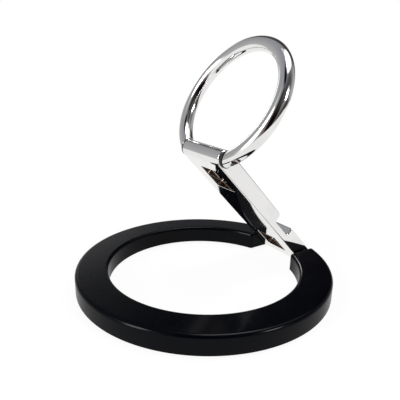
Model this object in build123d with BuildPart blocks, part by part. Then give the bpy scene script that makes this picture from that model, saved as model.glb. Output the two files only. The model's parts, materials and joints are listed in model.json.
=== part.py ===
from build123d import *

import os
from math import atan2, cos, degrees, radians, sin, sqrt

# Magnetic phone ring holder: a base ring, a link hinged in its gap and a finger ring on the link.
# The origin is the centre of the base on the phone's face, +Z points away from the phone, the gap is
# at +Y and both hinge axes run along X.  The pieces stand as opened out for use.

# Base ring
base_diameter = 56.0
rim_width = 7.0
base_height = 4.2
top_outer_edge = 0.8
top_inner_edge = 0.7
bottom_edge = 0.2
gap_width = 13.8
gap_edge = 0.6

# Pad on the phone's face
pad_thickness = 0.8
pad_proud = 0.15
pad_margin = 0.5

# Magnets and the steel behind them
magnet_count = 16
rim_wall = 0.9
magnet_width = 4.0
magnet_height = 1.7
magnet_spacing = 0.3
magnet_clearance = 0.1
yoke_thickness = 0.5

# Hinges
pin_diameter = 1.6
pin_edge = 0.15
pin_grip = 2.7
upper_pin_grip = 1.25
lug_wall = 1.2
sleeve_wall = 0.4
sleeve_slit = 0.4
sleeve_recess = 0.3
running_clearance = 0.03
washer_diameter = 3.4
lower_washer = 0.25
upper_washer = 0.5
side_clearance = 0.05
hinge_inset = 2.55

# Link arm
link_thickness = 3.7
fold_clearance = 0.25
link_edge = 0.25
neck_thickness = 1.65
notch_clearance = 0.3
notch_lip = 0.9
notch_corner = 0.3
notch_root = 0.4
pocket_width = 6.2
pocket_depth = 1.4
pocket_corner = 0.4
upper_pocket_length = 7.0
upper_pocket_offset = 2.9
lower_pocket_length = 6.0
lower_pocket_offset = 2.7

# Finger ring
ring_inner_diameter = 24.3
ring_wire = 3.1
ring_end_edge = 0.4
ring_pin_offset = 0.1
fold_offset = 0.3

# Pose
link_angle = 46.5
ring_lean = 30.8

# Worked out from the sizes above
base_radius = base_diameter / 2
hole_radius = base_radius - rim_width
lower_axis_radius = base_radius - hinge_inset
pin_radius = pin_diameter / 2
wire_radius = ring_wire / 2
ring_radius = ring_inner_diameter / 2 + wire_radius
half_link = link_thickness / 2
hinge_height = half_link + fold_clearance
link_width = gap_width - 2 * (lower_washer + side_clearance)
ring_opening = link_width + 2 * (upper_washer + side_clearance)
ring_hinge_offset = sqrt(ring_radius**2 - (ring_opening / 2) ** 2) + ring_pin_offset
link_length = lower_axis_radius + ring_hinge_offset - fold_offset
bore_radius = pin_radius + running_clearance
sleeve_radius = bore_radius + sleeve_wall

# Directions in the symmetry plane
link_direction = Vector(0, -cos(radians(link_angle)), sin(radians(link_angle)))
ring_direction = Vector(0, sin(radians(ring_lean)), cos(radians(ring_lean)))
lower_axis = Vector(0, lower_axis_radius, hinge_height)
upper_axis = lower_axis + link_direction * link_length
ring_centre = upper_axis + ring_direction * ring_hinge_offset

link_plane = Plane(origin=lower_axis, x_dir=link_direction, z_dir=(-1, 0, 0))
underside_plane = Plane(
    origin=lower_axis - link_plane.y_dir * half_link, x_dir=link_direction, z_dir=link_plane.y_dir
)
ring_plane = Plane(origin=ring_centre, x_dir=(1, 0, 0), z_dir=Vector(1, 0, 0).cross(ring_direction))


def hinge_plane(axis_point, x):
    """Plane across a hinge axis at the given X, facing +X."""
    return Plane(origin=(x, axis_point.Y, axis_point.Z), x_dir=(0, 1, 0), z_dir=(1, 0, 0))


def radial_plane(angle):
    """Upright plane through the base's axis, with its x direction at that angle from the gap."""
    turn = radians(angle)
    return Plane(origin=(0, 0, 0), x_dir=(-sin(turn), cos(turn), 0), z_dir=(cos(turn), sin(turn), 0))


os.makedirs("parts", exist_ok=True)


def save(piece, name):
    """Label a finished piece and write it to its own file."""
    piece.part.label = name
    export_step(piece.part, f"parts/{name}.step")


# The pin is pressed in from the right rim, so the magnet channel starts clear of that bore
bore_inner_edge = lower_axis_radius - pin_radius
bore_exit = sqrt(base_radius**2 - bore_inner_edge**2)
lug_angle = degrees(atan2(bore_exit + lug_wall, bore_inner_edge))
channel_arc = 360 - 2 * lug_angle
magnet_radius = base_radius - rim_wall - magnet_clearance - magnet_width / 2
yoke_base = pad_thickness + magnet_height
channel_height = magnet_height + yoke_thickness

with BuildSketch() as pad_outline:
    Circle(base_radius - pad_margin)
    Circle(hole_radius + pad_margin, mode=Mode.SUBTRACT)
    Rectangle(
        gap_width + 2 * pad_margin,
        base_diameter,
        align=(Align.CENTER, Align.MIN),
        mode=Mode.SUBTRACT,
    )

# Base ring
with BuildPart() as base_ring:
    with BuildSketch(Plane.XZ) as section:
        with Locations((hole_radius, pad_proud)):
            Rectangle(rim_width, base_height - pad_proud, align=Align.MIN)
        top_corners = section.vertices().group_by(Axis.Y)[-1].sort_by(Axis.X)
        fillet(top_corners[-1], top_outer_edge)
        top_corners = section.vertices().group_by(Axis.Y)[-1].sort_by(Axis.X)
        fillet(top_corners[0], top_inner_edge)
    revolve(axis=Axis.Z)
    Box(
        gap_width,
        base_diameter,
        2 * base_height,
        align=(Align.CENTER, Align.MIN, Align.MIN),
        mode=Mode.SUBTRACT,
    )
    gap_walls = base_ring.faces().filter_by(Axis.X)
    gap_edges = gap_walls.edges().filter_by(lambda edge: edge.center().Z > pad_proud + bottom_edge)
    fillet(gap_edges, gap_edge)
    fillet(base_ring.edges().group_by(Axis.Z)[0], bottom_edge)
    extrude(pad_outline.sketch, amount=pad_thickness, mode=Mode.SUBTRACT)
    with BuildSketch(radial_plane(lug_angle)):
        with Locations((magnet_radius, pad_thickness)):
            Rectangle(
                magnet_width + 2 * magnet_clearance, channel_height, align=(Align.CENTER, Align.MIN)
            )
    revolve(axis=Axis.Z, revolution_arc=channel_arc, mode=Mode.SUBTRACT)
    with BuildSketch(hinge_plane(lower_axis, -gap_width / 2 - pin_grip)):
        Circle(pin_radius)
    extrude(amount=base_diameter, mode=Mode.SUBTRACT)
save(base_ring, "base_ring")

with BuildPart() as bottom_pad:
    extrude(pad_outline.sketch, amount=pad_thickness)
save(bottom_pad, "bottom_pad")

with BuildPart() as steel_yoke:
    with BuildSketch(radial_plane(lug_angle)):
        with Locations((magnet_radius, yoke_base)):
            Rectangle(magnet_width, yoke_thickness, align=(Align.CENTER, Align.MIN))
    revolve(axis=Axis.Z, revolution_arc=channel_arc)
save(steel_yoke, "steel_yoke")

# Arc magnets, one after the other round the channel
magnet_pitch = channel_arc / magnet_count
magnet_gap_angle = degrees(magnet_spacing / magnet_radius)
for index in range(magnet_count):
    start = lug_angle + index * magnet_pitch + magnet_gap_angle / 2
    with BuildPart() as magnet:
        with BuildSketch(radial_plane(start)):
            with Locations((magnet_radius, pad_thickness)):
                Rectangle(magnet_width, magnet_height, align=(Align.CENTER, Align.MIN))
        revolve(axis=Axis.Z, revolution_arc=magnet_pitch - magnet_gap_angle)
    save(magnet, f"magnet_{index + 1:02d}")

# Link arm.  The folded ring's far arc lies in the notch: it reaches furthest along the link in the
# middle and least at the link's sides.
far_reach = ring_hinge_offset + ring_radius + wire_radius
side_reach = ring_hinge_offset + sqrt((ring_radius - wire_radius) ** 2 - (link_width / 2) ** 2)
notch_start = link_length - far_reach - notch_clearance
notch_end = link_length - side_reach + notch_clearance
notch_floor = neck_thickness - half_link

with BuildPart() as link_arm:
    with BuildSketch(link_plane) as link_side:
        with Locations((link_length / 2, 0)):
            SlotCenterToCenter(link_length, link_thickness)
        with Locations((notch_start, notch_floor)):
            Rectangle(notch_end - notch_start, link_thickness, align=Align.MIN, mode=Mode.SUBTRACT)
        roots = link_side.vertices().filter_by(lambda corner: abs(corner.Y - notch_floor) < notch_root / 2)
        fillet(roots, notch_root)
        lips = link_side.vertices().filter_by_position(Axis.X, notch_start, notch_end).sort_by(Axis.Y)
        fillet(lips[-2:].sort_by(Axis.X)[-1], notch_lip)
        near_start = (notch_start - notch_corner, notch_start + notch_corner)
        fillet(link_side.vertices().filter_by_position(Axis.X, *near_start).sort_by(Axis.Y)[-1], notch_corner)
    extrude(amount=link_width / 2, both=True)
    fillet(link_arm.faces().filter_by(Axis.X).edges(), link_edge)
    with BuildSketch(underside_plane) as pockets:
        with Locations((lower_pocket_offset, 0)):
            Rectangle(lower_pocket_length, pocket_width, align=(Align.MIN, Align.CENTER))
        with Locations((link_length - upper_pocket_offset, 0)):
            Rectangle(upper_pocket_length, pocket_width, align=(Align.MAX, Align.CENTER))
        fillet(pockets.vertices(), pocket_corner)
    extrude(amount=pocket_depth, mode=Mode.SUBTRACT)
    with BuildSketch(link_plane):
        with Locations((0, 0), (link_length, 0)):
            Circle(sleeve_radius)
    extrude(amount=link_width, both=True, mode=Mode.SUBTRACT)
save(link_arm, "link_arm")

# Finger ring: a round wire ring, cut off square beside the link's upper barrel
with BuildPart(ring_plane) as finger_ring:
    Torus(ring_radius, wire_radius)
    Box(
        ring_opening,
        ring_radius + ring_wire,
        2 * ring_wire,
        align=(Align.CENTER, Align.MAX, Align.CENTER),
        mode=Mode.SUBTRACT,
    )
    fillet(finger_ring.faces().filter_by(Axis.X).edges(), ring_end_edge)
    with BuildSketch(hinge_plane(upper_axis, 0)):
        Circle(pin_radius)
    extrude(amount=ring_radius + ring_wire, both=True, mode=Mode.SUBTRACT)
save(finger_ring, "finger_ring")


# Hinge pieces
def add_pin(name, axis_point, half_length):
    """Plain pin centred on a hinge axis, with broken edges."""
    with BuildPart() as pin:
        with BuildSketch(hinge_plane(axis_point, 0)):
            Circle(pin_radius)
        extrude(amount=half_length, both=True)
        chamfer(pin.faces().filter_by(Axis.X).edges(), pin_edge)
    save(pin, name)


def add_sleeve(name, axis_point, slit_direction):
    """Split spring sleeve inside a barrel of the link, gripping the pin."""
    plane = Plane(origin=axis_point, x_dir=slit_direction, z_dir=(1, 0, 0))
    with BuildPart() as sleeve:
        with BuildSketch(plane):
            Circle(sleeve_radius)
            Circle(bore_radius, mode=Mode.SUBTRACT)
            Rectangle(
                sleeve_radius, sleeve_slit, align=(Align.MIN, Align.CENTER), mode=Mode.SUBTRACT
            )
        extrude(amount=link_width / 2 - sleeve_recess, both=True)
    save(sleeve, name)


def add_washer(name, axis_point, x_start, thickness):
    """Flat washer on a hinge pin, from x_start towards +X."""
    with BuildPart() as washer:
        with BuildSketch(hinge_plane(axis_point, x_start)):
            Circle(washer_diameter / 2)
            Circle(pin_radius, mode=Mode.SUBTRACT)
        extrude(amount=thickness)
    save(washer, name)


add_pin("lower_pin", lower_axis, gap_width / 2 + pin_grip)
add_pin("upper_pin", upper_axis, ring_opening / 2 + upper_pin_grip)
add_sleeve("lower_friction_sleeve", lower_axis, link_direction)
add_sleeve("upper_friction_sleeve", upper_axis, -link_direction)
add_washer("lower_washer_left", lower_axis, -gap_width / 2, lower_washer)
add_washer("lower_washer_right", lower_axis, gap_width / 2 - lower_washer, lower_washer)
add_washer("upper_washer_left", upper_axis, -ring_opening / 2, upper_washer)
add_washer("upper_washer_right", upper_axis, ring_opening / 2 - upper_washer, upper_washer)
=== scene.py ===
# %% [markdown]
# # A magnetic phone ring holder
#
# The real thing is a flat black ring that clings to the back of a phone.  A chromed link is hinged
# in a gap in that ring, and a finger ring of round wire is hinged on the link's other end.  The CAD
# pieces come in as a fixed frame, in metres.  This lesson gives every piece that shows a smooth skin
# and every piece a finish.  First the frame is loaded.

import json
from math import cos, radians, sin

import bmesh
import bpy
import numpy as np
from mathutils import Matrix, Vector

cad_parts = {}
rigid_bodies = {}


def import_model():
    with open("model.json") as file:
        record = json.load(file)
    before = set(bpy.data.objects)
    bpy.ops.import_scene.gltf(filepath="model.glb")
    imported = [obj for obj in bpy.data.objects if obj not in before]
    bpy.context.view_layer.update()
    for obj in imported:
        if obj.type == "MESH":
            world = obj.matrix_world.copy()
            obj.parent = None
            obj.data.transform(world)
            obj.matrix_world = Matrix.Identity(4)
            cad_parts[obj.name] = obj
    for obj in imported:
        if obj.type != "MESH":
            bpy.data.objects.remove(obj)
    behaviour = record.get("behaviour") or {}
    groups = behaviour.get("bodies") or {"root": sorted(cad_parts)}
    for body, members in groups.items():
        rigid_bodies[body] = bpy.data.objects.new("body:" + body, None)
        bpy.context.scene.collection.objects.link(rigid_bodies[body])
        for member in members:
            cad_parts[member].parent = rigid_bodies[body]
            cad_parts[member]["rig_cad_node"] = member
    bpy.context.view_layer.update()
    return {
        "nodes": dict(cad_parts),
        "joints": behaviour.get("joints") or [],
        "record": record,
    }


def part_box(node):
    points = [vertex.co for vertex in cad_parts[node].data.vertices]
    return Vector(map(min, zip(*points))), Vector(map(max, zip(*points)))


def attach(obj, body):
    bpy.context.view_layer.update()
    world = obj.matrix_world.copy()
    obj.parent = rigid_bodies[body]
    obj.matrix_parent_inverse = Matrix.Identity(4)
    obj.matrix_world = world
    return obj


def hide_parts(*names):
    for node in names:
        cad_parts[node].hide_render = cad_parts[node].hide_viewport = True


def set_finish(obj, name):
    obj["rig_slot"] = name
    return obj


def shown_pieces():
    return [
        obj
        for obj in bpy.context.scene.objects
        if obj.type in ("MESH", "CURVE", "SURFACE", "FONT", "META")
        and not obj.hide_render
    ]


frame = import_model()
MM = 0.001
hinges = {joint["name"]: np.array(joint["pos_m"]) / MM for joint in frame["joints"]}
print("CAD nodes:", len(frame["nodes"]), "hinges in mm:", hinges)

# %% [markdown]
# ## The camera
#
# The photograph was taken from the front right, a little above the ring, with a fairly short lens.
# A camera can be aimed by hand, but here its place and its three axes are known in the frame of the
# part, so they go straight into the camera's matrix: Blender's camera looks along its own -Z.

# %% Set up the camera
CAMERA_PLACE = np.array([75.57336, -52.61758, 48.598])
CAMERA_RIGHT = np.array([0.55586, 0.83106, 0.01926])
CAMERA_UP = np.array([-0.26678, 0.15639, 0.95098])
CAMERA_LENS = 40.708
SENSOR_WIDTH = 36.0
NEAREST_SEEN = 0.005
FARTHEST_SEEN = 20.0

camera_data = bpy.data.cameras.new("camera")
camera_data.lens = CAMERA_LENS
camera_data.sensor_width = SENSOR_WIDTH
camera_data.clip_start = NEAREST_SEEN
camera_data.clip_end = FARTHEST_SEEN
camera = bpy.data.objects.new("camera", camera_data)
camera_axes = np.eye(4)
camera_axes[:3, 0] = CAMERA_RIGHT
camera_axes[:3, 1] = CAMERA_UP
camera_axes[:3, 2] = np.cross(CAMERA_RIGHT, CAMERA_UP)
camera_axes[:3, 3] = CAMERA_PLACE * MM
camera.matrix_world = Matrix(camera_axes.tolist())
bpy.context.scene.collection.objects.link(camera)
bpy.context.scene.camera = camera
print("camera at", CAMERA_PLACE, "mm, lens", CAMERA_LENS, "mm")

# %% [markdown]
# ## Outlines with rounded corners
#
# Every piece of the holder has an outline with rounded corners: the rim's section, the link seen from
# the side, a washer's section.  Polished metal shows each flaw of a surface, so a flat face must stay
# flat right up to the rounding.  For that, each arc gets one extra point just outside it on both
# sides: the bend of the shading then ends there, and does not creep over the flat.

# %% Round the corners of an outline
ARC_POINTS = 13
SUPPORT = 0.04
RUN_PARTS = 3


def unit(vectors):
    """Each vector divided by its length."""
    return vectors / np.linalg.norm(vectors, axis=-1, keepdims=True)


def rounded_outline(corners, radii):
    """Closed outline with an arc at each corner, and the outward direction at each of its points.

    A corner's arc is centred on the bisector of its two edges, at the radius divided by the sine of
    half the angle between them.  Its points turn evenly from one edge's direction to the other's.
    The corners run counter-clockwise.
    """
    corners = np.asarray(corners, float)
    radii = np.asarray(radii, float)[:, None]
    back = unit(np.roll(corners, 1, axis=0) - corners)
    ahead = unit(np.roll(corners, -1, axis=0) - corners)
    half = np.arccos(np.clip((back * ahead).sum(1, keepdims=True), -1, 1)) / 2
    reach = radii / np.tan(half)
    centres = corners + unit(back + ahead) * radii / np.sin(half)
    first = unit(corners + back * reach - centres)
    last = unit(corners + ahead * reach - centres)
    sweep = np.pi - 2 * half
    share = np.linspace(0, 1, ARC_POINTS)[None, :, None]
    of_first = np.sin(sweep[:, None] * (1 - share))
    of_last = np.sin(sweep[:, None] * share)
    turn = (of_first * first[:, None] + of_last * last[:, None]) / np.sin(sweep)[:, None]
    arcs = centres[:, None] + radii[:, None] * turn
    bulge = np.sign(np.cross(-back, ahead))[:, None, None]
    run_ahead = np.linalg.norm(np.roll(corners, -1, axis=0) - corners, axis=1, keepdims=True)
    free_ahead = run_ahead - reach - np.roll(reach, -1, axis=0)
    step_ahead = np.clip(free_ahead / RUN_PARTS, 0, SUPPORT)
    step_back = np.roll(step_ahead, 1, axis=0)
    before = arcs[:, 0] + back * step_back
    after = arcs[:, -1] + ahead * step_ahead
    points = np.concatenate([before[:, None], arcs, after[:, None]], axis=1)
    outward = np.concatenate([turn[:, :1], turn, turn[:, -1:]], axis=1) * bulge
    return points.reshape(-1, 2), outward.reshape(-1, 2)


print("points on each rounded corner:", ARC_POINTS + 2)

# %% [markdown]
# ## From a grid of points to a mesh
#
# A surface with two parameters is a grid: one row for each station along the piece, one column for
# each point of its outline.  Joining the grid into quads needs only index arithmetic on whole arrays.
# The two end rows are closed by a flat face each, or the last row joins the first, as on a washer.

# %% Make pieces from grids
SHARP_ANGLE = radians(17)
MERGE_DISTANCE = 1e-7


def grid_object(name, points, ring=False):
    """Object with quads between neighbouring rows of an array of rows, columns and x, y, z in mm."""
    rows, columns = points.shape[:2]
    index = np.arange(rows * columns).reshape(rows, columns)
    if ring:
        index = np.vstack([index, index[:1]])
    beside = np.roll(index, -1, axis=1)
    quads = np.stack([index[:-1], beside[:-1], beside[1:], index[1:]], axis=-1).reshape(-1, 4).tolist()
    caps = [] if ring else [index[0][::-1].tolist(), index[-1].tolist()]
    mesh = bpy.data.meshes.new(name)
    mesh.from_pydata((points.reshape(-1, 3) * MM).tolist(), [], quads + caps)
    work = bmesh.new()
    work.from_mesh(mesh)
    bmesh.ops.remove_doubles(work, verts=work.verts, dist=MERGE_DISTANCE)
    if work.calc_volume(signed=True) < 0:
        bmesh.ops.reverse_faces(work, faces=work.faces)
    work.to_mesh(mesh)
    work.free()
    piece = bpy.data.objects.new(name, mesh)
    bpy.context.scene.collection.objects.link(piece)
    return piece


def cut_away(piece, cutter):
    """Take the cutter's volume out of the piece, and delete the cutter."""
    tool = piece.modifiers.new("cut", "BOOLEAN")
    tool.object = cutter
    tool.operation = "DIFFERENCE"
    tool.solver = "EXACT"
    depsgraph = bpy.context.evaluated_depsgraph_get()
    mesh = bpy.data.meshes.new_from_object(piece.evaluated_get(depsgraph))
    piece.modifiers.remove(tool)
    old_mesh = piece.data
    piece.data = mesh
    mesh.name = old_mesh.name
    bpy.data.meshes.remove(old_mesh)
    bpy.data.objects.remove(cutter)


def dress(piece, node, body, slot):
    """Let a finished piece stand for a CAD node, shaded smooth apart from its real edges."""
    piece.data.shade_smooth()
    piece.data.set_sharp_from_angle(angle=SHARP_ANGLE)
    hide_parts(node)
    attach(piece, body)
    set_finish(piece, slot)
    low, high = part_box(node)
    made = np.array([vertex.co for vertex in piece.data.vertices])
    low_gap = np.abs(made.min(0) - np.array(low)).max()
    high_gap = np.abs(made.max(0) - np.array(high)).max()
    gap = max(low_gap, high_gap) / MM
    print(f"{piece.name}: {len(piece.data.polygons)} faces, box within {gap:.3f} mm of the solid's")


# %% [markdown]
# ## The base
#
# The base is a flat ring of rectangular section with a gap.  It could be a revolved profile cut by a
# box, but the gap's walls are parallel, not radial, and their edges are rounded.  So each point of the
# section gets its own start angle: the one at which its circle meets the gap's wall.  Near the wall
# the section shrinks along a quarter circle, which rounds the edges.

# %% Sweep a section round the base
SWEEP_STATIONS = 241
EDGE_STATIONS = 9
CAP_SHARES = np.array([0.06, 0.5, 0.93])

BASE_RADIUS = 28.0
HOLE_RADIUS = 21.0
BASE_TOP = 4.2
BASE_BOTTOM = 0.15
TOP_OUTER_EDGE = 0.8
TOP_INNER_EDGE = 0.7
BOTTOM_EDGE = 0.2
HALF_GAP = 6.9
GAP_EDGE = 0.6


def gapped_ring(name, inner, outer, bottom, top, radii, half_gap, edge, bottom_share):
    """Ring of a rounded section, from one wall of the gap round to the other.

    A section point at radius q starts at the angle whose sine is the wall's x divided by q.  At the
    angle a of the edge's quarter circle, the section has shrunk by the edge radius times 1 - cos(a)
    and stands that radius times 1 - sin(a) from the wall.
    """
    corners = [(inner, bottom), (outer, bottom), (outer, top), (inner, top)]
    section, outward = rounded_outline(corners, radii)
    outward = outward * np.where(outward < 0, [1.0, bottom_share], 1.0)
    quarter = np.linspace(np.pi / 2, 0, EDGE_STATIONS)
    shrunk = section - edge * (1 - np.cos(quarter))[:, None, None] * outward
    wall_x = half_gap + edge * (1 - np.sin(quarter))
    middle = shrunk[0].mean(0)
    cap = middle + CAP_SHARES[:, None, None] * (shrunk[0] - middle)
    flat = np.concatenate([cap, shrunk[:-1]])
    flat_x = np.concatenate([np.full(len(cap), half_gap), wall_x[:-1]])[:, None]
    near_y = np.sqrt(flat[..., 0] ** 2 - flat_x**2)
    near = np.stack([flat_x + 0 * near_y, near_y, flat[..., 1]], -1)
    start = np.arcsin(wall_x[-1] / section[:, 0])
    angle = start + np.linspace(0, 1, SWEEP_STATIONS)[:, None] * (2 * np.pi - 2 * start)
    radius = section[:, 0]
    swept = np.stack([radius * np.sin(angle), radius * np.cos(angle), section[:, 1] + 0 * angle], -1)
    return grid_object(name, np.concatenate([near, swept, near[::-1] * [-1, 1, 1]]))


base_radii = [BOTTOM_EDGE, BOTTOM_EDGE, TOP_OUTER_EDGE, TOP_INNER_EDGE]
base = gapped_ring(
    "base_rim",
    HOLE_RADIUS,
    BASE_RADIUS,
    BASE_BOTTOM,
    BASE_TOP,
    base_radii,
    HALF_GAP,
    GAP_EDGE,
    BOTTOM_EDGE / GAP_EDGE,
)
print("base swept:", len(base.data.polygons), "faces")

# %% [markdown]
# ## The pad and the cuts in the base
#
# On the side that meets the phone, a thin pad covers a channel full of magnets, and the lower hinge's
# pin is pressed in from the rim's right side.  The pad is a ring like the base, only lower, so the
# same function makes it.  Its seat, the channel and the pin's bore are then cut out of the base with
# Boolean modifiers, much as a mill and a drill would do it.

# %% Make the pad, and cut its seat, the magnet channel and the pin bore into the base
PAD_MARGIN = 0.5
PAD_TOP = 0.8
PAD_EDGE = 0.12
SEAT_EDGE = 0.02
CHANNEL_INNER = 22.9
CHANNEL_OUTER = 27.1
CHANNEL_TOP = 3.0
CHANNEL_HALF_GAP = 14.485
PIN_RADIUS = 0.8
CIRCLE_POINTS = 64


def turned(name, axis_point, stations, ring=False):
    """Surface turned about a line along X: each station is an x and the radius of its circle."""
    stations = np.asarray(stations, float)
    angle = np.linspace(0, 2 * np.pi, CIRCLE_POINTS, endpoint=False)
    x = stations[:, :1] + 0 * angle
    radius = stations[:, 1:]
    y = axis_point[1] + radius * np.cos(angle)
    z = axis_point[2] + radius * np.sin(angle)
    return grid_object(name, np.stack([x, y, z], -1), ring)


def pad_ring(name, bottom, edge):
    """Pad ring between the margins of the base's underside, from the given height up to its top."""
    return gapped_ring(
        name,
        HOLE_RADIUS + PAD_MARGIN,
        BASE_RADIUS - PAD_MARGIN,
        bottom,
        PAD_TOP,
        [edge] * 4,
        HALF_GAP + PAD_MARGIN,
        edge,
        1.0,
    )


pad = pad_ring("underside_pad", 0.0, PAD_EDGE)
cut_away(base, pad_ring("pad_seat", 0.0, SEAT_EDGE))
channel = gapped_ring(
    "magnet_channel",
    CHANNEL_INNER,
    CHANNEL_OUTER,
    BASE_BOTTOM,
    CHANNEL_TOP,
    [SEAT_EDGE] * 4,
    CHANNEL_HALF_GAP,
    SEAT_EDGE,
    1.0,
)
cut_away(base, channel)
pin_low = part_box("lower_pin")[0].x / MM
bore_stations = [(pin_low, PIN_RADIUS), (BASE_RADIUS, PIN_RADIUS)]
cut_away(base, turned("pin_bore", hinges["link_hinge"], bore_stations))
dress(base, "base_ring", "base", "black_anodised")
dress(pad, "bottom_pad", "base", "pad_rubber")

# %% [markdown]
# ## The link
#
# The link is a flat bar with a round barrel at each end, a notch in its back for the folded ring and
# two pockets in its underside.  Its side view is one outline with rounded corners, so the whole bar
# is that outline carried along X.  At both sides the outline shrinks along a quarter circle, which
# breaks the edges as on the real, polished piece.

# %% Carry the side view across the link
ACROSS = np.array([1.0, 0, 0])
LINK_ANGLE = radians(46.5)
LINK_DIRECTION = np.array([0, -cos(LINK_ANGLE), sin(LINK_ANGLE)])
LINK_BACK = np.array([0, sin(LINK_ANGLE), cos(LINK_ANGLE)])
HALF_LINK = 1.85
HALF_WIDTH = 6.6
LINK_EDGE = 0.25
RING_RADIUS = 13.7
WIRE_RADIUS = 1.55
NOTCH_CLEARANCE = 0.3
NOTCH_FLOOR = -0.2
NOTCH_LIP = 0.9
NOTCH_ROOT = 0.4
NOTCH_CORNER = 0.3
BARREL_EASE = 1e-6

link_foot = hinges["link_hinge"]
link_head = hinges["ring_hinge"]
link_length = np.linalg.norm(link_head - link_foot)
RING_LEAN = radians(30.8)
RING_DIRECTION = np.array([0, sin(RING_LEAN), cos(RING_LEAN)])
RING_HINGE_OFFSET = 11.786


def on_link(along, across, up):
    """Points of the link from their place along it, across it (X) and above its middle plane."""
    along, across, up = np.broadcast_arrays(along, across, up)
    return (
        link_foot
        + along[..., None] * LINK_DIRECTION
        + across[..., None] * ACROSS
        + up[..., None] * LINK_BACK
    )


far_reach = RING_HINGE_OFFSET + RING_RADIUS + WIRE_RADIUS
side_reach = RING_HINGE_OFFSET + np.sqrt((RING_RADIUS - WIRE_RADIUS) ** 2 - HALF_WIDTH**2)
notch_start = link_length - far_reach - NOTCH_CLEARANCE
notch_end = link_length - side_reach + NOTCH_CLEARANCE
link_corners = [
    (-HALF_LINK, -HALF_LINK),
    (link_length + HALF_LINK, -HALF_LINK),
    (link_length + HALF_LINK, HALF_LINK),
    (notch_end, HALF_LINK),
    (notch_end, NOTCH_FLOOR),
    (notch_start, NOTCH_FLOOR),
    (notch_start, HALF_LINK),
    (-HALF_LINK, HALF_LINK),
]
barrel = HALF_LINK - BARREL_EASE
link_radii = [barrel, barrel, barrel, NOTCH_LIP, NOTCH_ROOT, NOTCH_ROOT, NOTCH_CORNER, barrel]
side_view, side_outward = rounded_outline(link_corners, link_radii)

quarter = np.linspace(np.pi / 2, 0, EDGE_STATIONS)
edge_x = np.concatenate([[0.0], LINK_EDGE * (1 - np.sin(quarter)), [LINK_EDGE + SUPPORT]])
edge_inset = np.concatenate([[LINK_EDGE + SUPPORT], LINK_EDGE * (1 - np.cos(quarter)), [0.0]])
station_x = np.concatenate([edge_x - HALF_WIDTH, HALF_WIDTH - edge_x[::-1]])[:, None]
inset = np.concatenate([edge_inset, edge_inset[::-1]])[:, None, None]
loops = side_view - inset * side_outward
link = grid_object("link_bar", on_link(loops[..., 0], station_x, loops[..., 1]))
print(f"link {link_length:.2f} mm between its hinges, notch from {notch_start:.2f} to {notch_end:.2f} mm")

# %% [markdown]
# ## The link's pockets and bores
#
# The two pockets save metal, and the bores hold the sleeves that grip the pins.  A bevel could break
# their rims, but it would have to find them after the cut.  So the cutting tools flare at the mouth
# instead, and the rims catch the light as a fine bright line.  An attribute that is 1 in a pocket and
# 0 elsewhere tells the finish where to paint a darker colour as shade, with a different roughness.

# %% Cut the pockets and the sleeve bores
POCKET_HALF_WIDTH = 3.1
POCKET_DEPTH = 1.4
POCKET_CORNER = 0.4
POCKET_FLOOR_EDGE = 0.15
RIM_FLARE = 0.12
FLARE_END = radians(62)
UPPER_POCKET_INSET = 2.9
UPPER_POCKET_LENGTH = 7.0
LOWER_POCKET_INSET = 2.7
LOWER_POCKET_LENGTH = 6.0
SLEEVE_RADIUS = 1.23
RECESS = "recess"
RECESS_FADE = 0.12


def flare(steps):
    """How far out and how far up the mouth of a cut spreads, up to a last step past the surface.

    At the angle a of an arc of the flare's radius, the mouth has spread by the radius times 1 - cos(a)
    and risen by the radius times sin(a).  The last step goes straight on, one radius long.
    """
    angle = np.linspace(0, FLARE_END, steps)
    out = RIM_FLARE * (1 - np.cos(angle))
    rise = RIM_FLARE * (np.sin(angle) - np.sin(FLARE_END))
    past_out = out[-1] + RIM_FLARE * np.sin(FLARE_END)
    past_rise = RIM_FLARE * np.cos(FLARE_END)
    return np.append(out, past_out), np.append(rise, past_rise)


def pocket_cutter(name, ends):
    """Rounded box that stands in the underside, with a rounded floor edge and a flared mouth."""
    start, end = ends
    corners = [
        (start, -POCKET_HALF_WIDTH),
        (end, -POCKET_HALF_WIDTH),
        (end, POCKET_HALF_WIDTH),
        (start, POCKET_HALF_WIDTH),
    ]
    outline, outward = rounded_outline(corners, [POCKET_CORNER] * 4)
    bend = np.linspace(0, np.pi / 2, EDGE_STATIONS)
    floor_out = -POCKET_FLOOR_EDGE * (1 - np.sin(bend))
    floor_depth = POCKET_DEPTH - POCKET_FLOOR_EDGE * (1 - np.cos(bend))
    mouth_out, mouth_rise = flare(EDGE_STATIONS)
    out = np.concatenate([floor_out[:1] - SUPPORT, floor_out, mouth_out])
    depth = np.concatenate([floor_depth[:1], floor_depth, -mouth_rise])
    loops = outline + out[:, None, None] * outward
    return grid_object(name, on_link(loops[..., 0], loops[..., 1], depth[:, None] - HALF_LINK))


bore_out, bore_rise = flare(EDGE_STATIONS)
bore_side = np.stack([HALF_WIDTH + bore_rise, SLEEVE_RADIUS + bore_out], -1)
sleeve_bore = np.concatenate([bore_side[::-1] * [-1, 1], bore_side])
upper_end = link_length - UPPER_POCKET_INSET
upper_pocket = (upper_end - UPPER_POCKET_LENGTH, upper_end)
lower_pocket = (LOWER_POCKET_INSET, LOWER_POCKET_INSET + LOWER_POCKET_LENGTH)

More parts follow.
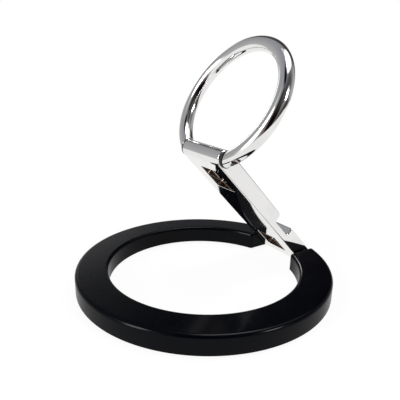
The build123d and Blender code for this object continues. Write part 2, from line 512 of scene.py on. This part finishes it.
cut_away(link, pocket_cutter("upper_pocket", upper_pocket))
cut_away(link, pocket_cutter("lower_pocket", lower_pocket))
cut_away(link, turned("upper_bore", link_head, sleeve_bore))
cut_away(link, turned("lower_bore", link_foot, sleeve_bore))
link_points = np.empty(3 * len(link.data.vertices))
link.data.vertices.foreach_get("co", link_points)
link_points = link_points.reshape(-1, 3) / MM - link_foot
along, up = link_points @ LINK_DIRECTION, link_points @ LINK_BACK
in_pocket = np.abs(link_points[:, 0]) < POCKET_HALF_WIDTH + SUPPORT
in_pocket &= (along > HALF_LINK) & (along < link_length - HALF_LINK)
in_pocket &= up < NOTCH_FLOOR - SUPPORT
recess = np.clip((up + HALF_LINK) / RECESS_FADE, 0, 1) * in_pocket
# The attribute marks where the chrome gets its painted shade.
link.data.attributes.new(RECESS, "FLOAT", "POINT").data.foreach_set("value", recess)
dress(link, "link_arm", "link", "chrome_plate")

# %% [markdown]
# ## The finger ring
#
# The finger ring is a round wire bent to a circle and cut off square beside the link's barrel.  It is
# a torus with its own start angle for each point round the wire, so that both ends lie in the plane
# of the cut.  A bore for the pin goes through both ends and comes out, slanting, on the wire's side.
# Its drilled wall gets the attribute of the pockets too, so painted shade darkens those faces.

# %% Bend the wire
RING_STATIONS = 301
WIRE_POINTS = 72
HALF_OPENING = 7.15
RING_END_EDGE = 0.4
BORE_MARGIN = 0.001
# Share of the painted recess shade on the ring's bore wall.
BORE_SHADE_SHARE = 0.7

ring_centre = link_head + RING_HINGE_OFFSET * RING_DIRECTION
RING_FACE = np.cross(ACROSS, RING_DIRECTION)


def on_ring(across, along, out):
    """Points in the ring's own plane: across it (X), along its lean, and out of its plane."""
    across, along, out = np.broadcast_arrays(across, along, out)
    return (
        ring_centre
        + across[..., None] * ACROSS
        + along[..., None] * RING_DIRECTION
        + out[..., None] * RING_FACE
    )


wire_angle = np.linspace(0, 2 * np.pi, WIRE_POINTS, endpoint=False)
end_share = CAP_SHARES * (WIRE_RADIUS - RING_END_EDGE)
end_bend = WIRE_RADIUS - RING_END_EDGE * (1 - np.cos(quarter[:-1]))
end_wire = np.concatenate([end_share, end_bend])[:, None]
cut_x = np.full(len(end_share), HALF_OPENING)
bend_x = HALF_OPENING + RING_END_EDGE * (1 - np.sin(quarter[:-1]))
end_x = np.concatenate([cut_x, bend_x])[:, None]
end_radius = RING_RADIUS + end_wire * np.cos(wire_angle)
end_along = -np.sqrt(end_radius**2 - end_x**2)
end_rows = on_ring(end_x, end_along, end_wire * np.sin(wire_angle))
body_radius = RING_RADIUS + WIRE_RADIUS * np.cos(wire_angle)
body_start = np.arcsin((HALF_OPENING + RING_END_EDGE) / body_radius)
body_turn = body_start + np.linspace(0, 1, RING_STATIONS)[:, None] * (2 * np.pi - 2 * body_start)
body_across = body_radius * np.sin(body_turn)
body_along = -body_radius * np.cos(body_turn)
body_rows = on_ring(body_across, body_along, WIRE_RADIUS * np.sin(wire_angle))
ring = grid_object("wire_ring", np.concatenate([end_rows, body_rows, end_rows[::-1] * [-1, 1, 1]]))
pin_bore = [(-RING_RADIUS, PIN_RADIUS), (RING_RADIUS, PIN_RADIUS)]
cut_away(ring, turned("ring_bore", link_head, pin_bore))
face_middles = np.empty(3 * len(ring.data.polygons))
ring.data.polygons.foreach_get("center", face_middles)
from_axis = np.linalg.norm((face_middles.reshape(-1, 3) / MM - link_head)[:, 1:], axis=1)
drilled = BORE_SHADE_SHARE * (from_axis < PIN_RADIUS + BORE_MARGIN)
ring.data.attributes.new(RECESS, "FLOAT", "FACE").data.foreach_set("value", drilled)
dress(ring, "finger_ring", "ring", "chrome_plate")

# %% [markdown]
# ## Pins and washers
#
# Both hinge pins are plain turned rods with broken edges, and each hinge has a thin nylon washer on
# either side of the barrel.  They are surfaces turned about the hinge's axis: a list of stations, each
# with a place along X and a radius.

# %% Turn the pins and the washers
PIN_EDGE = 0.15
PIN_CROWN = 0.02
CROWN_START = 0.02
WASHER_RADIUS = 1.7
WASHER_EDGE = 0.08
PIN_NODES = {"lower_pin": ("link_hinge", "base"), "upper_pin": ("ring_hinge", "ring")}
WASHER_NODES = {
    "lower_washer_left": ("link_hinge", "base"),
    "lower_washer_right": ("link_hinge", "base"),
    "upper_washer_left": ("ring_hinge", "ring"),
    "upper_washer_right": ("ring_hinge", "ring"),
}


def pin_stations(end):
    """Half of a pin's outline: a low crown, a rounded edge of a quarter circle, then the plain rod."""
    crown = np.linspace(CROWN_START, 1, EDGE_STATIONS)
    crown_radius = crown * (PIN_RADIUS - PIN_EDGE)
    crown_x = end - PIN_CROWN * crown**2
    edge_radius = PIN_RADIUS - PIN_EDGE * (1 - np.cos(quarter[1:]))
    edge_x = end - PIN_CROWN - (PIN_EDGE - PIN_CROWN) * (1 - np.sin(quarter[1:]))
    x = np.concatenate([crown_x, edge_x, [edge_x[-1] - SUPPORT]])
    radius = np.concatenate([crown_radius, edge_radius, [PIN_RADIUS]])
    return np.stack([x, radius], -1)


for node, (hinge, body) in PIN_NODES.items():
    half_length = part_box(node)[1].x / MM
    half = pin_stations(half_length)
    whole = np.concatenate([half[::-1] * [-1, 1], half])[::-1]
    pin = turned(f"turned_{node}", hinges[hinge], whole)
    dress(pin, node, body, "pin_steel")

for node, (hinge, body) in WASHER_NODES.items():
    low_x, high_x = [corner.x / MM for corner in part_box(node)]
    washer_corners = [
        (low_x, PIN_RADIUS),
        (high_x, PIN_RADIUS),
        (high_x, WASHER_RADIUS),
        (low_x, WASHER_RADIUS),
    ]
    washer_outline, _ = rounded_outline(washer_corners, [WASHER_EDGE] * 4)
    washer = turned(f"flat_{node}", hinges[hinge], washer_outline, ring=True)
    dress(washer, node, body, "washer_nylon")

# %% [markdown]
# ## Marks that every finish shares
#
# No finish is one flat value.  Plating carries faint smudges that change its roughness, the black
# coat has a fine grain, and ground steel has hairlines.  The smudges, the grain and the hairlines are
# built once, as a node group that reads a position and puts out three masks, and each material then
# uses the ones it needs with its own scales.

# %% Build the group of surface marks
GRAIN_DETAIL = 2.0
SMUDGE_DETAIL = 4.0
SMUDGE_ROUGHNESS = 0.6
SMUDGE_LIMITS = (0.4, 0.68)
LINE_DETAIL = 3.0

marks = bpy.data.node_groups.new("surface_marks", "ShaderNodeTree")
for socket_name, socket_type, direction in (
    ("Position", "NodeSocketVector", "INPUT"),
    ("Grain Scale", "NodeSocketFloat", "INPUT"),
    ("Smudge Scale", "NodeSocketFloat", "INPUT"),
    ("Line Scale", "NodeSocketVector", "INPUT"),
    ("Grain", "NodeSocketFloat", "OUTPUT"),
    ("Smudge", "NodeSocketFloat", "OUTPUT"),
    ("Lines", "NodeSocketFloat", "OUTPUT"),
):
    marks.interface.new_socket(socket_name, in_out=direction, socket_type=socket_type)
marks_in = marks.nodes.new("NodeGroupInput")
marks_out = marks.nodes.new("NodeGroupOutput")
grain_noise = marks.nodes.new("ShaderNodeTexNoise")
grain_noise.inputs["Detail"].default_value = GRAIN_DETAIL
smudge_noise = marks.nodes.new("ShaderNodeTexNoise")
smudge_noise.inputs["Detail"].default_value = SMUDGE_DETAIL
smudge_noise.inputs["Roughness"].default_value = SMUDGE_ROUGHNESS
smudge_range = marks.nodes.new("ShaderNodeMapRange")
smudge_range.interpolation_type = "SMOOTHSTEP"
smudge_range.inputs["From Min"].default_value = SMUDGE_LIMITS[0]
smudge_range.inputs["From Max"].default_value = SMUDGE_LIMITS[1]
line_stretch = marks.nodes.new("ShaderNodeVectorMath")
line_stretch.operation = "MULTIPLY"
line_noise = marks.nodes.new("ShaderNodeTexNoise")
line_noise.inputs["Scale"].default_value = 1.0
line_noise.inputs["Detail"].default_value = LINE_DETAIL
marks.links.new(marks_in.outputs["Position"], grain_noise.inputs["Vector"])
marks.links.new(marks_in.outputs["Grain Scale"], grain_noise.inputs["Scale"])
marks.links.new(marks_in.outputs["Position"], smudge_noise.inputs["Vector"])
marks.links.new(marks_in.outputs["Smudge Scale"], smudge_noise.inputs["Scale"])
marks.links.new(smudge_noise.outputs["Fac"], smudge_range.inputs["Value"])
marks.links.new(marks_in.outputs["Position"], line_stretch.inputs[0])
marks.links.new(marks_in.outputs["Line Scale"], line_stretch.inputs[1])
marks.links.new(line_stretch.outputs["Vector"], line_noise.inputs["Vector"])
marks.links.new(grain_noise.outputs["Fac"], marks_out.inputs["Grain"])
marks.links.new(smudge_range.outputs["Result"], marks_out.inputs["Smudge"])
marks.links.new(line_noise.outputs["Fac"], marks_out.inputs["Lines"])
print("surface marks:", len(marks.nodes), "nodes")

# %% [markdown]
# ## The finishes
#
# One function sets up the part that all finishes share: object coordinates into the marks, the
# smudges into the roughness and the colour, and grain or hairlines into a bump.  What differs is in
# plain values.  Chrome is a bright metal with hardly any roughness, painted darker as shade in its
# pockets and bore.
# The base is a deep matt black under a thin glossy coat, which draws the light lines along its edges.
# The pins are polished steel, the washers black nylon, the sleeves bronze, the magnets nickel plated,
# and the pad is a matt rubber.

# %% Make the finishes
METAL = 1.0
NOT_METAL = 0.0
PLAIN_SPECULAR = 0.5
NO_COAT = (0.0, 0.03)
THIN_GLOSSY_COAT = (0.13, 0.12)
# Painted shade: the darker, browner colour in the pockets and the ring's bore, and their roughness.
PAINTED_RECESS_SHADE = (0.38, 0.33, 0.305)
RECESS_ROUGHNESS = 0.05


def finish(
    name, clean, smudged, roughness, marks_values, bump, metallic, specular=PLAIN_SPECULAR, coat=NO_COAT
):
    """Material whose colour and roughness run from clean to smudged, with a bump from one of the marks.

    The bump is a mark's name, a strength and a height in mm.  The coat is a weight and a roughness.
    """
    material = bpy.data.materials.new(name)
    material.use_nodes = True
    nodes, links = material.node_tree.nodes, material.node_tree.links
    shader = nodes["Principled BSDF"]
    shader.inputs["Metallic"].default_value = metallic
    shader.inputs["Specular IOR Level"].default_value = specular
    shader.inputs["Coat Weight"].default_value = coat[0]
    shader.inputs["Coat Roughness"].default_value = coat[1]
    place = nodes.new("ShaderNodeTexCoord")
    group = nodes.new("ShaderNodeGroup")
    group.node_tree = marks
    links.new(place.outputs["Object"], group.inputs["Position"])
    for socket_name, value in marks_values.items():
        group.inputs[socket_name].default_value = value
    colour = nodes.new("ShaderNodeMix")
    colour.data_type = "RGBA"
    colour.inputs["A"].default_value = (*clean, 1.0)
    colour.inputs["B"].default_value = (*smudged, 1.0)
    links.new(group.outputs["Smudge"], colour.inputs["Factor"])
    links.new(colour.outputs["Result"], shader.inputs["Base Color"])
    gloss = nodes.new("ShaderNodeMapRange")
    gloss.inputs["To Min"].default_value = roughness[0]
    gloss.inputs["To Max"].default_value = roughness[1]
    links.new(group.outputs["Smudge"], gloss.inputs["Value"])
    links.new(gloss.outputs["Result"], shader.inputs["Roughness"])
    mark, strength, height = bump
    relief = nodes.new("ShaderNodeBump")
    relief.inputs["Strength"].default_value = strength
    relief.inputs["Distance"].default_value = height * MM
    links.new(group.outputs[mark], relief.inputs["Height"])
    links.new(relief.outputs["Normal"], shader.inputs["Normal"])
    return material


def paint_recess_shade(material, attribute, shade_colour, roughness):
    """Let the colour of a finish run to a painted shade, and its roughness to another value, by an
    attribute.
    """
    nodes, links = material.node_tree.nodes, material.node_tree.links
    shader = nodes["Principled BSDF"]
    depth = nodes.new("ShaderNodeAttribute")
    depth.attribute_name = attribute
    colour = nodes.new("ShaderNodeMix")
    colour.data_type = "RGBA"
    colour.inputs["B"].default_value = (*shade_colour, 1.0)
    links.new(depth.outputs["Fac"], colour.inputs["Factor"])
    links.new(shader.inputs["Base Color"].links[0].from_socket, colour.inputs["A"])
    links.new(colour.outputs["Result"], shader.inputs["Base Color"])
    gloss = nodes.new("ShaderNodeMix")
    gloss.inputs["B"].default_value = roughness
    links.new(depth.outputs["Fac"], gloss.inputs["Factor"])
    links.new(shader.inputs["Roughness"].links[0].from_socket, gloss.inputs["A"])
    links.new(gloss.outputs["Result"], shader.inputs["Roughness"])


CHROME_MARKS = {"Grain Scale": 900.0, "Smudge Scale": 160.0, "Line Scale": (400.0, 9000.0, 9000.0)}
COAT_MARKS = {"Grain Scale": 9000.0, "Smudge Scale": 110.0, "Line Scale": (3000.0, 3000.0, 3000.0)}
STEEL_MARKS = {"Grain Scale": 3000.0, "Smudge Scale": 500.0, "Line Scale": (14000.0, 700.0, 700.0)}
RUBBER_MARKS = {"Grain Scale": 4500.0, "Smudge Scale": 220.0, "Line Scale": (2000.0, 2000.0, 2000.0)}

finishes = {
    "chrome_plate": finish(
        "chrome_plate",
        clean=(0.80, 0.795, 0.785),
        smudged=(0.76, 0.755, 0.745),
        roughness=(0.025, 0.06),
        marks_values=CHROME_MARKS,
        bump=("Grain", 0.02, 0.01),
        metallic=METAL,
    ),
    "black_anodised": finish(
        "black_anodised",
        clean=(0.0003, 0.0006, 0.0017),
        smudged=(0.0007, 0.0010, 0.0021),
        roughness=(0.26, 0.32),
        marks_values=COAT_MARKS,
        bump=("Grain", 0.08, 0.01),
        metallic=NOT_METAL,
        specular=0.02,
        coat=THIN_GLOSSY_COAT,
    ),
    "pad_rubber": finish(
        "pad_rubber",
        clean=(0.018, 0.018, 0.019),
        smudged=(0.026, 0.026, 0.026),
        roughness=(0.72, 0.85),
        marks_values=RUBBER_MARKS,
        bump=("Grain", 0.5, 0.04),
        metallic=NOT_METAL,
        specular=0.3,
    ),
    "pin_steel": finish(
        "pin_steel",
        clean=(0.76, 0.755, 0.75),
        smudged=(0.68, 0.675, 0.67),
        roughness=(0.08, 0.14),
        marks_values=STEEL_MARKS,
        bump=("Lines", 0.08, 0.01),
        metallic=METAL,
    ),
    "washer_nylon": finish(
        "washer_nylon",
        clean=(0.010, 0.010, 0.011),
        smudged=(0.016, 0.016, 0.017),
        roughness=(0.3, 0.42),
        marks_values=RUBBER_MARKS,
        bump=("Grain", 0.15, 0.01),
        metallic=NOT_METAL,
        specular=0.4,
    ),
    "spring_bronze": finish(
        "spring_bronze",
        clean=(0.62, 0.44, 0.28),
        smudged=(0.50, 0.34, 0.20),
        roughness=(0.28, 0.4),
        marks_values=STEEL_MARKS,
        bump=("Lines", 0.2, 0.01),
        metallic=METAL,
    ),
    "magnet_nickel": finish(
        "magnet_nickel",
        clean=(0.62, 0.60, 0.57),
        smudged=(0.54, 0.52, 0.49),
        roughness=(0.25, 0.38),
        marks_values=STEEL_MARKS,
        bump=("Grain", 0.2, 0.01),
        metallic=METAL,
    ),
    "zinc_plated_steel": finish(
        "zinc_plated_steel",
        clean=(0.55, 0.56, 0.58),
        smudged=(0.47, 0.48, 0.50),
        roughness=(0.32, 0.45),
        marks_values=STEEL_MARKS,
        bump=("Grain", 0.25, 0.01),
        metallic=METAL,
    ),
}
# Paint shade into the pockets and the ring's bore.
paint_recess_shade(finishes["chrome_plate"], RECESS, PAINTED_RECESS_SHADE, RECESS_ROUGHNESS)
print("finishes:", ", ".join(finishes))

# %% [markdown]
# ## Every piece gets its finish
#
# A dressed piece carries the name of its finish, and for a bare CAD piece the part's record has it.
# So one loop over all pieces is enough, and none of them can be forgotten.

# %% Give every piece its finish
slot_of_node = {part["node"]: part["material_slot"] for part in frame["record"]["subparts"]}
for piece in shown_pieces():
    slot = piece.get("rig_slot") or slot_of_node[piece["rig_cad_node"]]
    piece.data.materials.clear()
    piece.data.materials.append(finishes[slot])

# %% [markdown]
# ## The floor
#
# The holder stands on white paper.  For the camera and in reflections the paper glows an even white,
# and near the holder a small share of plain paint lets a faint shadow show.  A shadow catcher could do
# that too, but a mix by the kind of ray needs only one material.

# %% Lay the floor
FLOOR_HALF = 0.25
FLOOR_DROP = 0.0002
FLOOR_SHADOW_SHARE = 0.08
SHADOW_REACH = (0.03, 0.09)
PAPER_PAINT = (0.9, 0.9, 0.9, 1.0)
PAPER_WHITE = (1.0, 1.0, 1.0, 1.0)

floor_mesh = bpy.data.meshes.new("floor")
floor_square = np.array([[-1, -1, 0], [1, -1, 0], [1, 1, 0], [-1, 1, 0]])
floor_corners = floor_square * FLOOR_HALF - [0, 0, FLOOR_DROP]
floor_mesh.from_pydata(floor_corners.tolist(), [], [[0, 1, 2, 3]])
floor = bpy.data.objects.new("floor", floor_mesh)
bpy.context.scene.collection.objects.link(floor)

floor_paint = bpy.data.materials.new("floor_paint")
floor_paint.use_nodes = True
floor_nodes, floor_links = floor_paint.node_tree.nodes, floor_paint.node_tree.links
floor_nodes.clear()
floor_out = floor_nodes.new("ShaderNodeOutputMaterial")
floor_mix = floor_nodes.new("ShaderNodeMixShader")
floor_diffuse = floor_nodes.new("ShaderNodeBsdfDiffuse")
floor_diffuse.inputs["Color"].default_value = PAPER_PAINT
floor_white = floor_nodes.new("ShaderNodeEmission")
floor_white.inputs["Color"].default_value = PAPER_WHITE
floor_rays = floor_nodes.new("ShaderNodeLightPath")
seen_or_mirrored = floor_nodes.new("ShaderNodeMath")
seen_or_mirrored.operation = "MAXIMUM"
seen_or_through = floor_nodes.new("ShaderNodeMath")
seen_or_through.operation = "MAXIMUM"
white_share = floor_nodes.new("ShaderNodeMath")
white_share.operation = "MULTIPLY"
floor_place = floor_nodes.new("ShaderNodeTexCoord")
floor_reach = floor_nodes.new("ShaderNodeVectorMath")
floor_reach.operation = "LENGTH"
shine = floor_nodes.new("ShaderNodeMapRange")
shine.interpolation_type = "SMOOTHSTEP"
shine.inputs["From Min"].default_value = SHADOW_REACH[0]
shine.inputs["From Max"].default_value = SHADOW_REACH[1]
shine.inputs["To Min"].default_value = 1 - FLOOR_SHADOW_SHARE
shine.inputs["To Max"].default_value = 1.0
floor_links.new(floor_place.outputs["Object"], floor_reach.inputs[0])
floor_links.new(floor_reach.outputs["Value"], shine.inputs["Value"])
floor_links.new(shine.outputs["Result"], white_share.inputs[1])
floor_links.new(floor_rays.outputs["Is Camera Ray"], seen_or_mirrored.inputs[0])
floor_links.new(floor_rays.outputs["Is Glossy Ray"], seen_or_mirrored.inputs[1])
floor_links.new(seen_or_mirrored.outputs["Value"], seen_or_through.inputs[0])
floor_links.new(floor_rays.outputs["Is Transmission Ray"], seen_or_through.inputs[1])
floor_links.new(seen_or_through.outputs["Value"], white_share.inputs[0])
floor_links.new(white_share.outputs["Value"], floor_mix.inputs["Fac"])
floor_links.new(floor_diffuse.outputs["BSDF"], floor_mix.inputs[1])
floor_links.new(floor_white.outputs["Emission"], floor_mix.inputs[2])
floor_links.new(floor_mix.outputs["Shader"], floor_out.inputs["Surface"])
floor_mesh.materials.append(floor_paint)
print("floor", 2 * FLOOR_HALF, "m wide")

# %% [markdown]
# ## A soft panel
#
# Chrome has no colour of its own: what it shows is the studio.  A softbox could be a plane that glows,
# but a soft oval in the world's own shader is simpler.  The group gives the mask of one oval: the
# offset of a direction from the panel's centre, in panel widths and heights, run through a smooth step.

# %% Build the group of soft panels
panel_group = bpy.data.node_groups.new("soft_panel", "ShaderNodeTree")
for socket_name, socket_type, direction in (
    ("Direction", "NodeSocketVector", "INPUT"),
    ("Centre", "NodeSocketVector", "INPUT"),
    ("Side", "NodeSocketVector", "INPUT"),
    ("Rise", "NodeSocketVector", "INPUT"),
    ("Softness", "NodeSocketFloat", "INPUT"),
    ("Mask", "NodeSocketFloat", "OUTPUT"),
):
    panel_group.interface.new_socket(socket_name, in_out=direction, socket_type=socket_type)
panel_in = panel_group.nodes.new("NodeGroupInput")
panel_out = panel_group.nodes.new("NodeGroupOutput")
offsets = panel_group.nodes.new("ShaderNodeCombineXYZ")
for socket_name, axis in (("Side", "X"), ("Rise", "Y")):
    offset = panel_group.nodes.new("ShaderNodeVectorMath")
    offset.operation = "DOT_PRODUCT"
    panel_group.links.new(panel_in.outputs["Direction"], offset.inputs[0])
    panel_group.links.new(panel_in.outputs[socket_name], offset.inputs[1])
    panel_group.links.new(offset.outputs["Value"], offsets.inputs[axis])
distance = panel_group.nodes.new("ShaderNodeVectorMath")
distance.operation = "LENGTH"
nearest = panel_group.nodes.new("ShaderNodeMath")
nearest.operation = "SUBTRACT"
nearest.inputs[0].default_value = 1.0
falloff = panel_group.nodes.new("ShaderNodeMapRange")
falloff.interpolation_type = "SMOOTHSTEP"
falloff.inputs["From Max"].default_value = 1.0
falloff.inputs["To Min"].default_value = 1.0
falloff.inputs["To Max"].default_value = 0.0
ahead = panel_group.nodes.new("ShaderNodeVectorMath")
ahead.operation = "DOT_PRODUCT"
in_front = panel_group.nodes.new("ShaderNodeMath")
in_front.operation = "GREATER_THAN"
in_front.inputs[1].default_value = 0.0
front_only = panel_group.nodes.new("ShaderNodeMath")
front_only.operation = "MULTIPLY"
panel_group.links.new(offsets.outputs["Vector"], distance.inputs[0])
panel_group.links.new(panel_in.outputs["Softness"], nearest.inputs[1])
panel_group.links.new(distance.outputs["Value"], falloff.inputs["Value"])
panel_group.links.new(nearest.outputs["Value"], falloff.inputs["From Min"])
panel_group.links.new(panel_in.outputs["Direction"], ahead.inputs[0])
panel_group.links.new(panel_in.outputs["Centre"], ahead.inputs[1])
panel_group.links.new(ahead.outputs["Value"], in_front.inputs[0])
panel_group.links.new(falloff.outputs["Result"], front_only.inputs[0])
panel_group.links.new(in_front.outputs["Value"], front_only.inputs[1])
panel_group.links.new(front_only.outputs["Value"], panel_out.inputs["Mask"])
print("soft panel:", len(panel_group.nodes), "nodes")

# %% [markdown]
# ## The studio
#
# Above the floor the studio is grey.  White softboxes hang at the left, the right, the rear and
# overhead, three of them with a bright core that draws fine lines along rounded edges.  Dark panels on
# the camera's side and at the rear give the chrome its black bands.  The camera sees a white backdrop.

# %% Hang the panels in the studio
HORIZON = (0.50, 0.50, 0.505)
ZENITH = (0.31, 0.32, 0.345)
ZENITH_SINE = 0.9
GLARING = (15.0, 15.0, 15.0)
DAZZLING = (24.0, 24.0, 24.0)
BRIGHT = (9.0, 9.0, 9.0)
SHINING = (1.7, 1.7, 1.7)
WHITE = (1.3, 1.3, 1.3)
WARM_GREY = (0.20, 0.165, 0.155)
GREY = (0.085, 0.083, 0.083)
DIM = (0.065, 0.058, 0.055)
DARK = (0.004, 0.004, 0.006)


def towards(azimuth, elevation):
    """Unit vector with this azimuth, which runs from -Y towards +X, and elevation, both in degrees."""
    a, e = radians(azimuth), radians(elevation)
    return np.array([sin(a) * cos(e), -cos(a) * cos(e), sin(e)])


def panel(azimuth, elevation, half_width, half_height, softness, colour, roll=0.0):
    """A panel's look: where it hangs, how far it reaches sideways and up, its edge and its colour.

    All angles are in degrees.  The panel's offsets are the cosines towards its own side and rise
    directions, divided by the sines of its two half angles.
    """
    a, turn = radians(azimuth), radians(roll)
    centre = towards(azimuth, elevation)
    level = np.array([cos(a), sin(a), 0.0])
    upright = np.cross(centre, level)
    side = level * cos(turn) + upright * sin(turn)
    rise = upright * cos(turn) - level * sin(turn)
    return centre, side / sin(radians(half_width)), rise / sin(radians(half_height)), softness, colour


panels = {
    "left_panel": panel(
        azimuth=5, elevation=14, half_width=22, half_height=60, softness=0.67, colour=WHITE, roll=26
    ),
    "left_core": panel(
        azimuth=359, elevation=25, half_width=11, half_height=22, softness=0.4, colour=GLARING
    ),
    "rear_panel": panel(
        azimuth=258, elevation=16, half_width=22, half_height=14, softness=0.6, colour=SHINING, roll=20
    ),
    "dark_rear": panel(
        azimuth=216, elevation=42, half_width=44, half_height=19, softness=0.35, colour=DIM
    ),
    "dark_corner": panel(
        azimuth=206, elevation=20, half_width=22, half_height=26, softness=0.4, colour=DIM
    ),
    "warm_edge": panel(
        azimuth=61, elevation=20, half_width=40, half_height=58, softness=0.33, colour=WARM_GREY, roll=36
    ),
    "dark_side": panel(
        azimuth=61, elevation=23, half_width=23, half_height=48, softness=0.21, colour=DARK, roll=20
    ),
    "grey_ceiling": panel(
        azimuth=108, elevation=46, half_width=75, half_height=37, softness=0.7, colour=GREY, roll=-23
    ),
    "dim_corner": panel(
        azimuth=131, elevation=-11, half_width=55, half_height=28, softness=0.42, colour=DIM, roll=-19
    ),
    "dark_rail": panel(
        azimuth=6, elevation=73, half_width=25, half_height=12, softness=0.62, colour=DARK
    ),
    "small_panel": panel(
        azimuth=115, elevation=31, half_width=12, half_height=14, softness=0.56, colour=WHITE, roll=59
    ),
    "small_core": panel(
        azimuth=115, elevation=27, half_width=9, half_height=9, softness=0.4, colour=DAZZLING
    ),
    "overhead_panel": panel(
        azimuth=174, elevation=69, half_width=18, half_height=30, softness=0.12, colour=WHITE, roll=14
    ),
    "overhead_core": panel(
        azimuth=182, elevation=77, half_width=13, half_height=19, softness=0.35, colour=BRIGHT
    ),
}

world = bpy.data.worlds.new("studio")
bpy.context.scene.world = world
world.use_nodes = True
sky_nodes, sky_links = world.node_tree.nodes, world.node_tree.links
sky_place = sky_nodes.new("ShaderNodeTexCoord")
sky_parts = sky_nodes.new("ShaderNodeSeparateXYZ")
sky_height = sky_nodes.new("ShaderNodeMapRange")
sky_height.inputs["From Max"].default_value = ZENITH_SINE
sky_colour = sky_nodes.new("ShaderNodeMix")
sky_colour.data_type = "RGBA"
sky_colour.inputs["A"].default_value = (*HORIZON, 1.0)
sky_colour.inputs["B"].default_value = (*ZENITH, 1.0)
sky_links.new(sky_place.outputs["Generated"], sky_parts.inputs["Vector"])
sky_links.new(sky_parts.outputs["Z"], sky_height.inputs["Value"])
sky_links.new(sky_height.outputs["Result"], sky_colour.inputs["Factor"])
last_colour = sky_colour.outputs["Result"]
for panel_name, (centre, side, rise, softness, colour) in panels.items():
    mask = sky_nodes.new("ShaderNodeGroup")
    mask.node_tree = panel_group
    mask.label = panel_name
    mask.inputs["Centre"].default_value = centre
    mask.inputs["Side"].default_value = side
    mask.inputs["Rise"].default_value = rise
    mask.inputs["Softness"].default_value = softness
    sky_links.new(sky_place.outputs["Generated"], mask.inputs["Direction"])
    over = sky_nodes.new("ShaderNodeMix")
    over.data_type = "RGBA"
    over.inputs["B"].default_value = (*colour, 1.0)
    sky_links.new(mask.outputs["Mask"], over.inputs["Factor"])
    sky_links.new(last_colour, over.inputs["A"])
    last_colour = over.outputs["Result"]
sky_rays = sky_nodes.new("ShaderNodeLightPath")
backdrop = sky_nodes.new("ShaderNodeMix")
backdrop.data_type = "RGBA"
backdrop.inputs["B"].default_value = PAPER_WHITE
sky_links.new(sky_rays.outputs["Is Camera Ray"], backdrop.inputs["Factor"])
sky_links.new(last_colour, backdrop.inputs["A"])
sky_links.new(backdrop.outputs["Result"], sky_nodes["Background"].inputs["Color"])
print("studio panels:", ", ".join(panels))

# %% [markdown]
# ## A lamp that fills
#
# The panels give nearly all of the light.  One weak square lamp overhead fills what they leave dark.
# A lamp's power is its radiance times pi times its area, so the radiance is the value to set.  The
# Standard view transform then shows each brightness as it was written.

# %% Hang the lamp overhead
LAMP_AZIMUTH = 242
LAMP_ELEVATION = 77
LAMP_DISTANCE = 0.6
LAMP_SIZE = 0.16
LAMP_RADIANCE = 0.5

lamp_back = towards(LAMP_AZIMUTH, LAMP_ELEVATION)
lamp_side = unit(np.cross([0, 0, 1.0], lamp_back))
lamp_axes = np.eye(4)
lamp_axes[:3, 0] = lamp_side
lamp_axes[:3, 1] = np.cross(lamp_back, lamp_side)
lamp_axes[:3, 2] = lamp_back
lamp_axes[:3, 3] = lamp_back * LAMP_DISTANCE
lamp_data = bpy.data.lights.new("overhead_lamp", "AREA")
lamp_data.shape = "SQUARE"
lamp_data.size = LAMP_SIZE
lamp_data.energy = LAMP_RADIANCE * np.pi * LAMP_SIZE**2
lamp = bpy.data.objects.new("overhead_lamp", lamp_data)
lamp.matrix_world = Matrix(lamp_axes.tolist())
bpy.context.scene.collection.objects.link(lamp)
bpy.context.scene.view_settings.view_transform = "Standard"
print(f"lamp of {lamp_data.energy:.2f} W, {LAMP_DISTANCE} m away")
